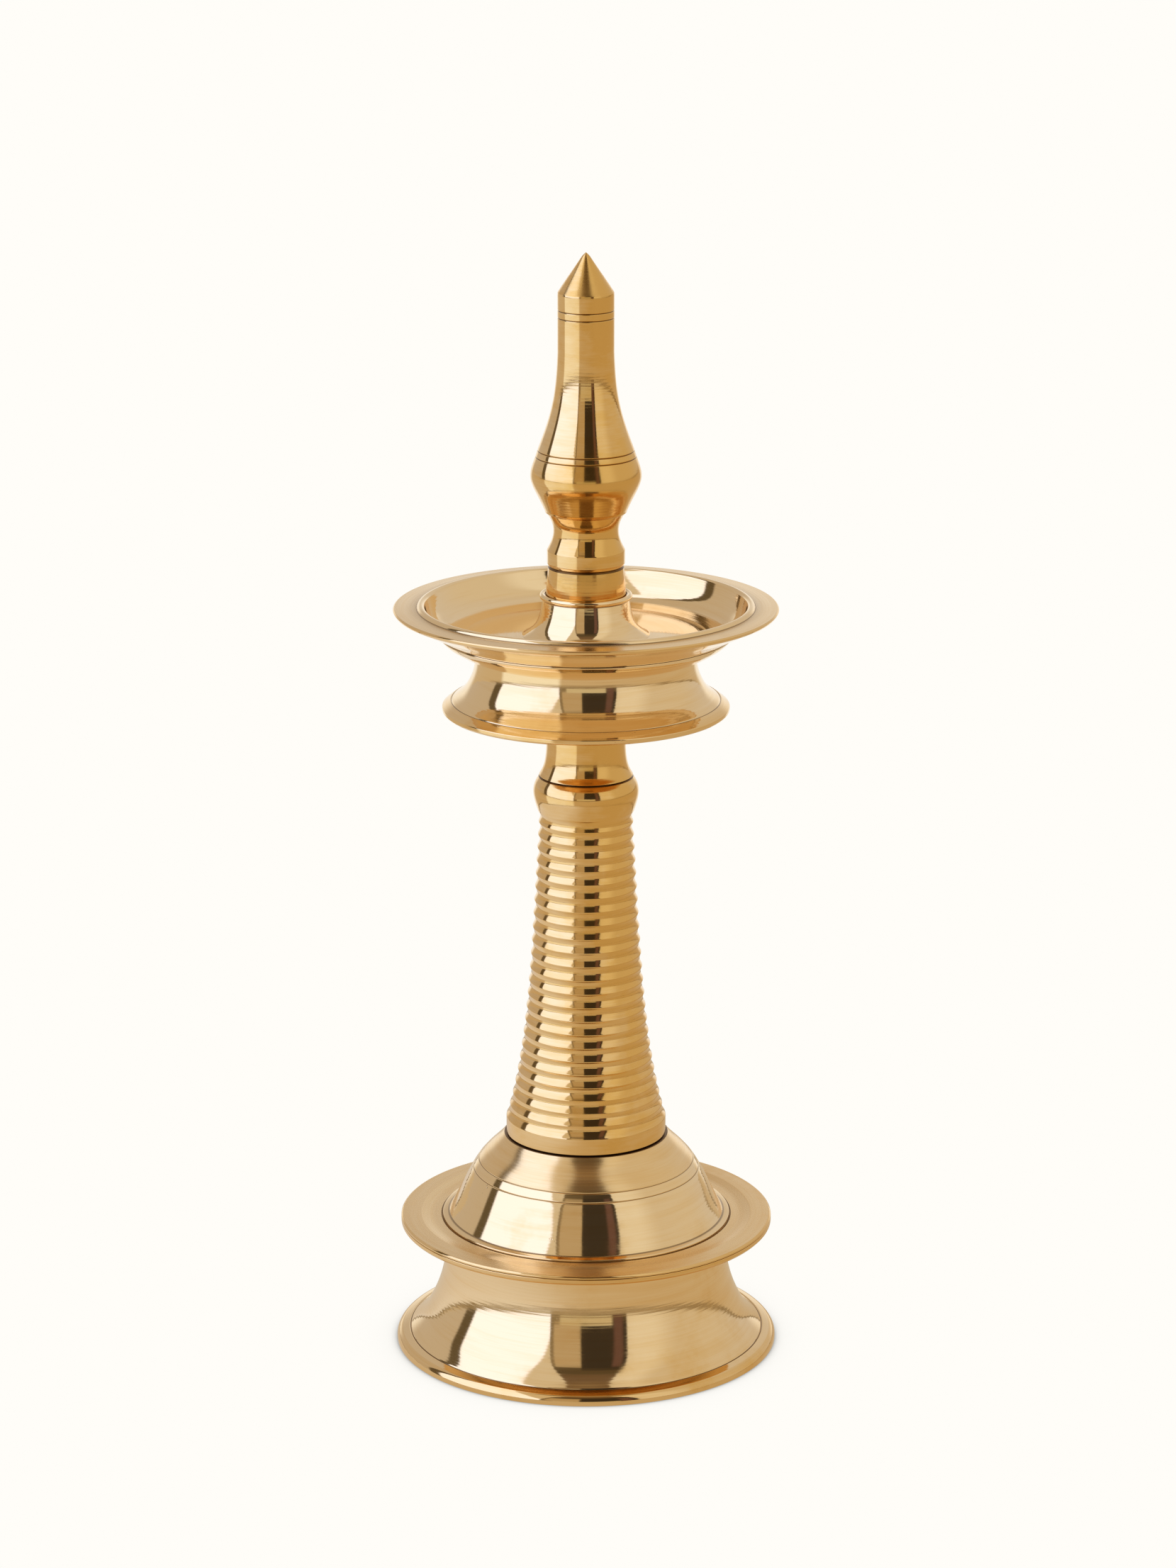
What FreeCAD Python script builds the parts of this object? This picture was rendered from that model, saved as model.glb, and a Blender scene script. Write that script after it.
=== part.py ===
import FreeCAD, Part
import math
import os

# A brass standing oil lamp that screws apart for cleaning and packing. Millimetres, +Z up,
# the lamp stands on z = 0 and every piece is turned about the Z axis. From the table up it is
# a flared foot, a domed cap, a ribbed column, a neck that carries a bell-shaped stand, a wide
# oil dish with a post in its hub, and a pointed finial. A threaded nipple or stud joins each
# pair of pieces that unscrews.

# Levels of the seats, where one piece rests on the next
DOME_SEAT = 42.3
COLUMN_SEAT = 70.3
NECK_SEAT = 189.5
DISH_SEAT = 232.9
POST_SEAT = 247.9
FINIAL_SEAT = 257.5
TIP = 356.0

# Fits
RUNNING_FIT = 0.05       # radial clearance of a thread in its hole
HOLE_RELIEF = 0.5        # a threaded hole is this much deeper than its stud

# Threaded joints: radius of the thread and the length that is screwed into the piece above
NIPPLE_RADIUS = 14.0
NIPPLE_BORE = 10.5
COLUMN_THREAD = 10.0
NECK_STUD_RADIUS = 7.0
NECK_THREAD = 10.0
DISH_STUD_RADIUS = 6.0
DISH_THREAD = 7.5
FINIAL_STUD_RADIUS = 5.0
FINIAL_THREAD = 7.5
HELD_LENGTH = 8.0        # length of each stud in the piece below

# Foot
FOOT_RADIUS = 61.7
FOOT_RIM_HEIGHT = 2.4
FOOT_WALL = 2.3
FOOT_WAIST_RADIUS = 45.1
FLANGE_RADIUS = 60.0
FLANGE_TOP = 42.9
FLANGE_EDGE = 3.2
FLANGE_BAND_INNER = 53.0
FLANGE_SAG = 0.5
FOOT_OPENING = 40.0

# Domed cap
DOME_WALL = 2.6
DOME_RING_RADIUS = 46.5
DOME_TOP_RADIUS = 26.0
DOME_SPIGOT_DEPTH = 4.0

# Column
BAND_RADIUS = 25.7
RIDGE_COUNT = 24         # the lowest one is the top edge of the plain band
TOP_RIDGE_RADIUS = 15.1
TOP_RIDGE_LEVEL = 174.4
COLUMN_FLARE = 5.57      # the ridge radius grows evenly by this much down the column
COLUMN_FLARE_FOOT = 4.97  # and by this much more, nearly all of it in the lowest third
HOLLOW_DEPTH = 0.68      # depth of the rounded hollow between two ridges
LOW_HOLLOW_DEPTH = 0.5   # the lowest three hollows are shallower
CAPITAL_RADIUS = 16.75
COLUMN_CORE_TOP = 10.0
COLUMN_CORE_BOTTOM = 16.5

# Neck and the bell-shaped stand under the dish
NECK_RADIUS = 12.6
SPIGOT_RADIUS = 9.0
STAND_RIM_RADIUS = 45.4
STAND_RIM_BOTTOM = 210.7
STAND_WAIST_RADIUS = 35.25
STAND_TOP_RADIUS = 34.8
STAND_WALL = 2.2
STAND_WEB = 4.0

# Dish
DISH_RADIUS = 60.6
DISH_RIM_TOP = 244.2
DISH_RIM_EDGE = 1.7
DISH_LIP_HEIGHT = 1.1
DISH_RING_BOTTOM = 229.3 # the ring under the dish reaches down round the stand's top
RING_CLEARANCE = 0.2
DISH_LIP_RADIUS = 51.6
DISH_MOUTH_RADIUS = 50.7
DISH_FLOOR = 235.2
HUB_FOOT_RADIUS = 19.0
HUB_RADIUS = 14.6
HUB_RIM = 1.4
POST_TANG_RADIUS = 8.0
POST_TANG_LENGTH = 6.0

# Post and finial
POST_BOTTOM_RADIUS = 12.65
POST_TOP_RADIUS = 11.9
FINIAL_RING_RADIUS = 12.25
FINIAL_BELLY_RADIUS = 17.4
FINIAL_BELLY_LEVEL = 285.7
FINIAL_SHAFT_RADIUS = 8.85
FINIAL_SHOULDER = 342.8

# Engraved lines
LINE_DEPTH = 0.35


class Outline:
    """Half of a lengthwise section: points are (radius, height), joined in order."""

    def __init__(self, radius, height):
        self.start = FreeCAD.Vector(radius, 0, height)
        self.here = self.start
        self.edges = []

    def line(self, radius, height):
        end = FreeCAD.Vector(radius, 0, height)
        self.edges.append(Part.LineSegment(self.here, end).toShape())
        self.here = end
        return self

    def arc(self, middle, end):
        middle = FreeCAD.Vector(middle[0], 0, middle[1])
        end = FreeCAD.Vector(end[0], 0, end[1])
        self.edges.append(Part.Arc(self.here, middle, end).toShape())
        self.here = end
        return self

    def curve(self, points):
        """A smooth curve from the last point through all of these."""
        knots = [self.here] + [FreeCAD.Vector(radius, 0, height) for radius, height in points]
        spline = Part.BSplineCurve()
        spline.interpolate(knots)
        self.edges.append(spline.toShape())
        self.here = knots[-1]
        return self

    def turned(self):
        """Close the outline and turn it about the Z axis into a solid."""
        if (self.here - self.start).Length > 1e-6:
            self.line(self.start.x, self.start.z)
        face = Part.Face(Part.Wire(self.edges))
        return face.revolve(FreeCAD.Vector(0, 0, 0), FreeCAD.Vector(0, 0, 1), 360)


def inset(points, wall):
    """The same run of points moved inwards by the wall thickness, square to the run."""
    moved = []
    for index, (radius, height) in enumerate(points):
        before = points[max(index - 1, 0)]
        after = points[min(index + 1, len(points) - 1)]
        run = (after[0] - before[0], after[1] - before[1])
        length = math.hypot(*run)
        moved.append((radius - wall * run[1] / length, height + wall * run[0] / length))
    return moved


def rod(radius, bottom, top):
    """A round bar on the axis."""
    return Part.makeCylinder(radius, top - bottom, FreeCAD.Vector(0, 0, bottom))


def thread_rod(radius, bottom, top, chamfer=0.8):
    """A stud with a chamfer at each end."""
    return (Outline(0, bottom).line(radius - chamfer, bottom).line(radius, bottom + chamfer)
            .line(radius, top - chamfer).line(radius - chamfer, top).line(0, top).turned())


def engraved(solid, radius, height, depth=LINE_DEPTH):
    """Cut a fine V-shaped line round a piece, where its surface has this radius."""
    cutter = (Outline(radius - depth, height).line(radius + depth, height - 2 * depth)
              .line(radius + depth, height + 2 * depth).turned())
    return solid.cut(cutter)


def ridge(fraction):
    """Radius and height of a ridge, from the top of the column (0) to the band (1)."""
    radius = TOP_RIDGE_RADIUS + COLUMN_FLARE * fraction + COLUMN_FLARE_FOOT * fraction ** 4
    height = TOP_RIDGE_LEVEL - 95.2 * fraction - 17.6 * fraction ** 2 + 14.6 * fraction ** 3
    return radius, height


def foot():
    """Flared hollow foot with a flat flange round its top."""
    flare = [(57.1, 4.1), (52.9, 8.3), (50.05, 13.2), (48.15, 17.8), (46.6, 23.2), (45.45, 31.5),
             (FOOT_WAIST_RADIUS, FLANGE_TOP - FLANGE_EDGE)]
    inside = inset(flare[::-1], -FOOT_WALL)[1:]
    under_flange = FLANGE_TOP - FLANGE_EDGE
    groove = under_flange + 0.6 * FLANGE_EDGE
    outline = Outline(FOOT_RADIUS - 3.6, 0).line(FOOT_RADIUS, 0).line(FOOT_RADIUS, 1.2)
    outline.arc((FOOT_RADIUS - 0.5, FOOT_RIM_HEIGHT), (FOOT_RADIUS - 1.7, FOOT_RIM_HEIGHT + 0.9))
    outline.line(flare[0][0] + 0.5, 3.8).line(*flare[0]).curve(flare[1:])
    outline.line(FLANGE_RADIUS - 0.9, under_flange).line(FLANGE_RADIUS, under_flange + 0.9)
    outline.line(FLANGE_RADIUS, groove).line(FLANGE_RADIUS - 0.3, groove + 0.15)
    outline.line(FLANGE_RADIUS, groove + 0.3).line(FLANGE_RADIUS, FLANGE_TOP - 0.5)
    outline.line(FLANGE_RADIUS - 0.5, FLANGE_TOP).line(FLANGE_BAND_INNER, FLANGE_TOP)
    outline.arc((0.5 * (FLANGE_BAND_INNER + DOME_RING_RADIUS), FLANGE_TOP - FLANGE_SAG),
                (DOME_RING_RADIUS + 0.3, DOME_SEAT + 0.3))
    outline.line(DOME_RING_RADIUS, DOME_SEAT).line(FOOT_OPENING, DOME_SEAT)
    outline.line(FOOT_OPENING, under_flange - 1.5).curve(inside)
    return outline.turned()


def base_dome():
    """Domed cap that sits in the foot and carries the column."""
    dome = [(44.35, 43.5), (42.85, 46.2), (39.55, 52.95), (36.5, 58.65), (32.3, 64.05), (28.05, 68.2)]
    inside = inset(dome, DOME_WALL)
    spigot = FOOT_OPENING - 0.05
    boss_bottom = COLUMN_SEAT - HELD_LENGTH
    outline = Outline(spigot, DOME_SEAT).line(DOME_RING_RADIUS, DOME_SEAT)
    outline.line(DOME_RING_RADIUS, DOME_SEAT + 0.9).line(45.2, DOME_SEAT + 1.1)
    outline.line(*dome[0]).curve(dome[1:]).line(DOME_TOP_RADIUS + 0.4, COLUMN_SEAT)
    outline.line(NIPPLE_RADIUS + RUNNING_FIT, COLUMN_SEAT)
    outline.line(NIPPLE_RADIUS + RUNNING_FIT, boss_bottom)
    outline.line(NIPPLE_RADIUS + 5, boss_bottom).line(26.0, inside[-1][1])
    outline.curve([point for point in inside[-2:0:-1]])
    outline.line(spigot - 2.6, DOME_SEAT - DOME_SPIGOT_DEPTH)
    outline.line(spigot, DOME_SEAT - DOME_SPIGOT_DEPTH)
    cap = outline.turned()
    cap = engraved(cap, 34.85, 61.1)
    return engraved(cap, 36.55, 58.6)


def base_nipple():
    """Threaded tube that joins the column to the domed cap."""
    bottom = COLUMN_SEAT - HELD_LENGTH
    top = COLUMN_SEAT + COLUMN_THREAD
    return thread_rod(NIPPLE_RADIUS, bottom, top).cut(rod(NIPPLE_BORE, bottom, top))


def column():
    """Ribbed column: bulging capital, a stack of rounded hollows between ridges that widens
    downwards, a plain band at the foot, and a tapering core hole."""
    socket_top = COLUMN_SEAT + COLUMN_THREAD + HOLE_RELIEF
    stud_hole = NECK_SEAT - HELD_LENGTH - HOLE_RELIEF
    stud_wall = NECK_STUD_RADIUS + RUNNING_FIT
    core_top = stud_hole - 8
    socket_wall = NIPPLE_RADIUS + RUNNING_FIT
    outline = Outline(socket_wall, COLUMN_SEAT).line(socket_wall, socket_top)
    outline.line(NIPPLE_BORE, socket_top).line(COLUMN_CORE_BOTTOM, socket_top + 5)
    outline.line(COLUMN_CORE_TOP, core_top).line(0, core_top + 3)
    outline.line(0, stud_hole).line(stud_wall, stud_hole)
    outline.line(stud_wall, NECK_SEAT).line(14.7, NECK_SEAT).line(15.0, NECK_SEAT - 0.3)
    outline.curve([(16.0, 187.6), (CAPITAL_RADIUS, 185.0), (16.3, 181.3), (15.35, 178.2)])
    top_radius, top_level = ridge(0)
    outline.arc((14.6, 176.3), (top_radius, top_level))
    for step in range(1, RIDGE_COUNT):
        above_radius, above_level = ridge((step - 1) / (RIDGE_COUNT - 1))
        radius, level = ridge(step / (RIDGE_COUNT - 1))
        depth = HOLLOW_DEPTH if step < RIDGE_COUNT - 3 else LOW_HOLLOW_DEPTH
        outline.line(above_radius, above_level - 0.15)
        outline.arc((0.54 * above_radius + 0.46 * radius - depth,
                     0.54 * above_level + 0.46 * level), (radius, level))
    outline.line(BAND_RADIUS, level - 0.2)
    outline.line(BAND_RADIUS, COLUMN_SEAT + 0.3).line(BAND_RADIUS - 0.3, COLUMN_SEAT)
    return outline.turned()


def column_stud():
    """Threaded stud in the top of the column."""
    return thread_rod(NECK_STUD_RADIUS, NECK_SEAT - HELD_LENGTH, NECK_SEAT + NECK_THREAD)


def neck():
    """Neck that flares onto the capital; its spigot holds the stand."""
    web_bottom = DISH_SEAT - STAND_WEB
    lower_hole = NECK_SEAT + NECK_THREAD + HOLE_RELIEF
    upper_hole = DISH_SEAT - HELD_LENGTH - HOLE_RELIEF
    lower_wall = NECK_STUD_RADIUS + RUNNING_FIT
    upper_wall = DISH_STUD_RADIUS + RUNNING_FIT
    outline = Outline(lower_wall, NECK_SEAT).line(14.7, NECK_SEAT).line(14.9, NECK_SEAT + 0.2)
    outline.curve([(13.85, 191.7), (13.05, 194.4), (NECK_RADIUS, 199.0)])
    outline.line(NECK_RADIUS, web_bottom).line(SPIGOT_RADIUS, web_bottom)
    outline.line(SPIGOT_RADIUS, DISH_SEAT).line(upper_wall, DISH_SEAT)
    outline.line(upper_wall, upper_hole).line(0, upper_hole).line(0, lower_hole)
    outline.line(lower_wall, lower_hole)
    return outline.turned()


def dish_stand():
    """Bell-shaped stand that spreads out below the dish, open underneath."""
    flare = [(42.2, 214.5), (38.2, 218.1), (37.1, 219.9), (36.3, 221.6), (35.7, 223.2),
             (STAND_WAIST_RADIUS, 225.0), (STAND_TOP_RADIUS, 229.1)]
    inside = inset(flare[::-1], -STAND_WALL)
    web_bottom = DISH_SEAT - STAND_WEB
    outline = Outline(42.6, STAND_RIM_BOTTOM).line(STAND_RIM_RADIUS - 0.3, STAND_RIM_BOTTOM)
    outline.line(STAND_RIM_RADIUS, STAND_RIM_BOTTOM + 0.3).line(STAND_RIM_RADIUS, 212.6)
    outline.line(42.5, 214.5).line(*flare[0]).curve(flare[1:])
    outline.line(STAND_TOP_RADIUS, DISH_SEAT)
    outline.line(SPIGOT_RADIUS, DISH_SEAT).line(SPIGOT_RADIUS, web_bottom)
    outline.line(inside[1][0] - 1.5, web_bottom).curve(inside[1:])
    return outline.turned()


def dish():
    """Oil dish: flat rim with a raised lip, rounded bowl, a ring underneath that fits round the
    top of the stand, and a hub that holds the post."""
    rim_bottom = DISH_RIM_TOP - DISH_RIM_EDGE
    crest = DISH_RIM_TOP + DISH_LIP_HEIGHT
    hub_top = POST_SEAT + 0.7
    hole_top = DISH_SEAT + DISH_THREAD + HOLE_RELIEF
    hole_wall = DISH_STUD_RADIUS + RUNNING_FIT
    tang_bottom = POST_SEAT - POST_TANG_LENGTH
    recess = POST_BOTTOM_RADIUS + 0.3
    ring_wall = STAND_TOP_RADIUS + RING_CLEARANCE
    outline = Outline(hole_wall, DISH_SEAT).line(ring_wall, DISH_SEAT)
    outline.line(ring_wall, DISH_RING_BOTTOM).line(36.6, DISH_RING_BOTTOM)
    outline.curve([(39.85, 230.6), (42.7, 232.3), (45.0, 233.9), (46.2, 235.3)])
    outline.line(46.0, 235.6).curve([(49.8, 237.9), (53.6, 239.8), (DISH_RADIUS - 1.4, rim_bottom)])
    outline.arc((DISH_RADIUS - 0.4, rim_bottom + 0.35), (DISH_RADIUS, rim_bottom + 1.1))
    outline.line(DISH_RADIUS, DISH_RIM_TOP - 0.4).line(DISH_RADIUS - 0.4, DISH_RIM_TOP)
    outline.line(DISH_LIP_RADIUS + 1.5, DISH_RIM_TOP)
    outline.arc((DISH_LIP_RADIUS, crest), (DISH_MOUTH_RADIUS, crest - 0.6))
    outline.curve([(49.9, 242.4), (47.9, 239.0), (44.0, 236.4), (38.5, DISH_FLOOR)])
    outline.line(HUB_FOOT_RADIUS + 1, DISH_FLOOR)
    outline.curve([(16.4, 238.0), (14.3, 243.0), (13.5, hub_top - HUB_RIM - 0.3)])
    outline.arc((HUB_RADIUS, hub_top - 0.5 * HUB_RIM), (recess + 0.6, hub_top))
    outline.line(recess, hub_top - 0.2).line(recess, POST_SEAT)
    outline.line(POST_TANG_RADIUS, POST_SEAT).line(POST_TANG_RADIUS, tang_bottom)
    outline.line(0, tang_bottom).line(0, hole_top).line(hole_wall, hole_top)
    return outline.turned()


def dish_stud():
    """Threaded stud in the top of the neck; the dish screws down onto it."""
    return thread_rod(DISH_STUD_RADIUS, DISH_SEAT - HELD_LENGTH, DISH_SEAT + DISH_THREAD)


def post():
    """Short tapered post with a tang that is driven into the dish's hub."""
    hole_bottom = FINIAL_SEAT - HELD_LENGTH - HOLE_RELIEF
    hole_wall = FINIAL_STUD_RADIUS + RUNNING_FIT
    outline = Outline(0, POST_SEAT - POST_TANG_LENGTH)
    outline.line(POST_TANG_RADIUS, POST_SEAT - POST_TANG_LENGTH)
    outline.line(POST_TANG_RADIUS, POST_SEAT).line(POST_BOTTOM_RADIUS, POST_SEAT)
    outline.line(POST_TOP_RADIUS, FINIAL_SEAT - 0.4).line(POST_TOP_RADIUS - 0.4, FINIAL_SEAT)
    outline.line(hole_wall, FINIAL_SEAT).line(hole_wall, hole_bottom).line(0, hole_bottom)
    return outline.turned()


def finial_stud():
    """Threaded stud in the post; the finial screws down onto it."""
    return thread_rod(FINIAL_STUD_RADIUS, FINIAL_SEAT - HELD_LENGTH, FINIAL_SEAT + FINIAL_THREAD)


def finial():
    """Finial: ring, cove, rounded belly, slender waisted shaft and a pointed tip."""
    hole_top = FINIAL_SEAT + FINIAL_THREAD + HOLE_RELIEF
    hole_wall = FINIAL_STUD_RADIUS + RUNNING_FIT
    ring_top = FINIAL_SEAT + 5.0
    outline = Outline(hole_wall, FINIAL_SEAT).line(11.7, FINIAL_SEAT)
    outline.line(FINIAL_RING_RADIUS, FINIAL_SEAT + 0.9).line(FINIAL_RING_RADIUS, ring_top)
    outline.curve([(11.3, 264.3), (10.25, 268.1), (10.8, 271.6), (12.2, 274.3)])
    outline.line(12.8, 274.6).line(13.0, 275.3)
    outline.curve([(14.85, 279.2), (16.95, 283.7), (FINIAL_BELLY_RADIUS, FINIAL_BELLY_LEVEL),
                   (16.8, 289.3), (13.6, 298.3), (10.85, 307.2), (9.4, 316.1),
                   (FINIAL_SHAFT_RADIUS, 325.0)])
    outline.line(FINIAL_SHAFT_RADIUS, FINIAL_SHOULDER)
    outline.line(8.75, FINIAL_SHOULDER + 0.8)
    outline.curve([(6.45, 347.1), (4.05, 350.6), (1.15, 354.9)]).line(0, TIP)
    outline.line(0, hole_top).line(hole_wall, hole_top)
    spire = outline.turned()
    spire = engraved(spire, FINIAL_SHAFT_RADIUS, 338.0)
    spire = engraved(spire, FINIAL_SHAFT_RADIUS, 335.7)
    spire = engraved(spire, 15.1, 294.0)
    return engraved(spire, 15.75, 292.2)


PIECES = [foot, base_dome, base_nipple, column, column_stud, neck, dish_stand, dish, dish_stud,
          post, finial_stud, finial]

os.makedirs("parts", exist_ok=True)
for piece in PIECES:
    shape = piece()
    if shape.Volume < 0:
        shape.reverse()
    shape.exportStep("parts/" + piece.__name__ + ".step")
    print(piece.__name__, shape.ShapeType, "valid" if shape.isValid() else "NOT VALID",
          round(shape.Volume / 1000, 2), "cm3")
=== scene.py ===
"""Looks for a brass standing oil lamp that screws apart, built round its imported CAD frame.

Every visible piece is turned: an outline, given as radius and height in millimetres, goes
through one lathe node tree that spins it, adds the slight wobble of a hand-turned casting and
cuts the threads. The brass finishes read the distance along the outline for their lathe lines
and how deep a point lies in a groove for their patina.
"""

import logging
import math
from dataclasses import dataclass, replace
from enum import Enum
from typing import Optional, Sequence, Union

import bpy
import numpy as np
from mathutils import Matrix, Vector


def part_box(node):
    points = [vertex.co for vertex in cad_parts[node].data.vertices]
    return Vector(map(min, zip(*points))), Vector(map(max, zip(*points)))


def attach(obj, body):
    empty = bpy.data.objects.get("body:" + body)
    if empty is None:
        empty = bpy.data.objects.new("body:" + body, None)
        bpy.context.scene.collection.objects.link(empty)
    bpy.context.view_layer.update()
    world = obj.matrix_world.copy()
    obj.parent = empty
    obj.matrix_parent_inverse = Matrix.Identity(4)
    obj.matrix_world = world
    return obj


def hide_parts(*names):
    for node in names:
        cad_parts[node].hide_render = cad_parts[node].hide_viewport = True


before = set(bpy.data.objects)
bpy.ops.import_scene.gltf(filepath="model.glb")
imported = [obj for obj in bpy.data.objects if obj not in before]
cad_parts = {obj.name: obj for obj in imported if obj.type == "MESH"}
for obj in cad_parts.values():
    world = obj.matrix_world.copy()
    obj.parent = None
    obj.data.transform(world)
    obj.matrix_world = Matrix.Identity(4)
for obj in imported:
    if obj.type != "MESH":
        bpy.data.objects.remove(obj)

log = logging.getLogger("oil_lamp")

MM = 0.001
Point = tuple[float, float]
Socket = bpy.types.NodeSocket
Wire = Union[Socket, float, int, bool, str, tuple, None]


# ---------------------------------------------------------------- outlines


class Thread(Enum):
    """What a straight run of an outline carries."""

    NONE = 0
    MALE = 1
    FEMALE = -1


@dataclass
class Run:
    """One stretch of an outline.

    Args:
        points: Radius and height of its samples, in millimetres, both ends included.
        thread: The thread that it carries.
        satin: How brushed it is left, from 0 for polished to 1 for dull.
        grime: How much dirt sits on it, from 0 to 1.
        stain: How much more tarnished it is than the piece, from 0 to 1.
    """

    points: list[Point]
    thread: Thread = Thread.NONE
    satin: float = 0.0
    grime: float = 0.0
    stain: float = 0.0

    def marks(self) -> np.ndarray:
        """Its thread's sign, satin, grime and stain."""
        return np.array((self.thread.value, self.satin, self.grime, self.stain), float)

    def length(self) -> float:
        """Length of the stretch."""
        return sum(math.dist(a, b) for a, b in zip(self.points, self.points[1:]))

    def trimmed(self, cut: float) -> "Run":
        """The same stretch with a length cut off its start.

        Args:
            cut: How much to take off, less than the stretch's length.

        Returns:
            The shorter stretch.
        """
        points = list(self.points)
        while len(points) > 2 and math.dist(points[0], points[1]) <= cut:
            cut -= math.dist(points[0], points[1])
            points.pop(0)
        share = min(0.95, cut / max(math.dist(points[0], points[1]), 1e-9))
        (r0, z0), (r1, z1) = points[0], points[1]
        points[0] = (r0 + (r1 - r0) * share, z0 + (z1 - z0) * share)
        return replace(self, points=points)

    def backwards(self) -> "Run":
        """The same stretch walked the other way."""
        return replace(self, points=self.points[::-1])


class Outline:
    """Half of a lengthwise section, walked from point to point with the metal on its left."""

    STEP = 0.77  # spacing of a curve's samples, in millimetres

    def __init__(self, radius: float, height: float) -> None:
        """Start the walk.

        Args:
            radius: Distance from the axis, in millimetres.
            height: Height above the table, in millimetres.
        """
        self.here: Point = (radius, height)
        self.runs: list[Run] = []
        self.surface = (0.0, 0.0, 0.0)

    def _add(self, points: list[Point], thread: Thread = Thread.NONE) -> "Outline":
        """Append a run and move to its end."""
        self.runs.append(Run(points, thread, *self.surface))
        self.here = points[-1]
        return self

    def finish(self, satin: float = 0.0, grime: float = 0.0, stain: float = 0.0) -> "Outline":
        """Set how brushed, dirty and tarnished the runs from here on are."""
        self.surface = (satin, grime, stain)
        return self

    def line(self, radius: float, height: float) -> "Outline":
        """A straight run to a point."""
        return self._add([self.here, (radius, height)])

    def path(self, *points: Point) -> "Outline":
        """Straight runs through several points."""
        for radius, height in points:
            self.line(radius, height)
        return self

    def threaded(self, height: float, pitch: float, kind: Thread) -> "Outline":
        """A straight run up or down at this radius that carries a thread.

        Args:
            height: Height of the run's end.
            pitch: The thread's pitch, which sets how finely the run is sampled.
            kind: Male or female.

        Returns:
            The outline, to go on with.
        """
        radius, start = self.here
        count = max(4, round(abs(height - start) / pitch * 10))
        steps = [start + (height - start) * i / count for i in range(count + 1)]
        return self._add([(radius, z) for z in steps], kind)

    def arc(self, middle: Point, end: Point) -> "Outline":
        """A circular run through a middle point to an end point."""
        (x1, y1), (x2, y2), (x3, y3) = self.here, middle, end
        d = 2 * (x1 * (y2 - y3) + x2 * (y3 - y1) + x3 * (y1 - y2))
        if abs(d) < 1e-9:
            return self.line(*end)
        s1, s2, s3 = x1 * x1 + y1 * y1, x2 * x2 + y2 * y2, x3 * x3 + y3 * y3
        cx = (s1 * (y2 - y3) + s2 * (y3 - y1) + s3 * (y1 - y2)) / d
        cy = (s1 * (x3 - x2) + s2 * (x1 - x3) + s3 * (x2 - x1)) / d
        radius = math.hypot(x1 - cx, y1 - cy)
        a1, a2, a3 = (math.atan2(y - cy, x - cx) for x, y in (self.here, middle, end))
        turn = (a3 - a1) % math.tau
        if (a2 - a1) % math.tau > turn:
            turn -= math.tau
        count = max(4, math.ceil(abs(turn) / math.radians(9)))
        angles = [a1 + turn * i / count for i in range(count + 1)]
        return self._add([(cx + radius * math.cos(a), cy + radius * math.sin(a)) for a in angles])

    def curve(self, *points: Point) -> "Outline":
        """A smooth run from here through every point, as a natural cubic spline."""
        knots = np.array([self.here, *points])
        chord = np.concatenate([[0], np.cumsum(np.hypot(*np.diff(knots, axis=0).T))])
        size = len(knots)
        matrix, right = np.zeros((size, size)), np.zeros((size, 2))
        matrix[0, 0] = matrix[-1, -1] = 1
        for i in range(1, size - 1):
            before, after = chord[i] - chord[i - 1], chord[i + 1] - chord[i]
            matrix[i, i - 1 : i + 2] = before, 2 * (before + after), after
            slope_after = (knots[i + 1] - knots[i]) / after
            right[i] = 6 * (slope_after - (knots[i] - knots[i - 1]) / before)
        bend = np.linalg.solve(matrix, right)
        made = [tuple(knots[0])]
        for i in range(size - 1):
            span = chord[i + 1] - chord[i]
            count = max(4, math.ceil(span / self.STEP))
            for k in range(1, count + 1):
                b = k / count
                a = 1 - b
                pull = (a**3 - a) * bend[i] + (b**3 - b) * bend[i + 1]
                made.append(tuple(a * knots[i] + b * knots[i + 1] + pull * span**2 / 6))
        return self._add(made)

    def groove(self, width: float, depth: float, along: Point, facing: Point) -> "Outline":
        """Cut a V-shaped line of this width, centred on a point, square to a facing direction.

        Args:
            width: Width of the groove at the surface.
            depth: Depth of the groove.
            along: The point of the surface at the groove's middle.
            facing: Radius and height parts of the direction that the surface faces.

        Returns:
            The outline, standing at the groove's far edge.
        """
        scale = math.hypot(*facing)
        out = (facing[0] / scale, facing[1] / scale)
        onward = (-out[1], out[0])
        middle = (along[0] - depth * out[0], along[1] - depth * out[1])
        far = (along[0] + 0.5 * width * onward[0], along[1] + 0.5 * width * onward[1])
        near = (along[0] - 0.5 * width * onward[0], along[1] - 0.5 * width * onward[1])
        return self.path(near, middle, far)

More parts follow.
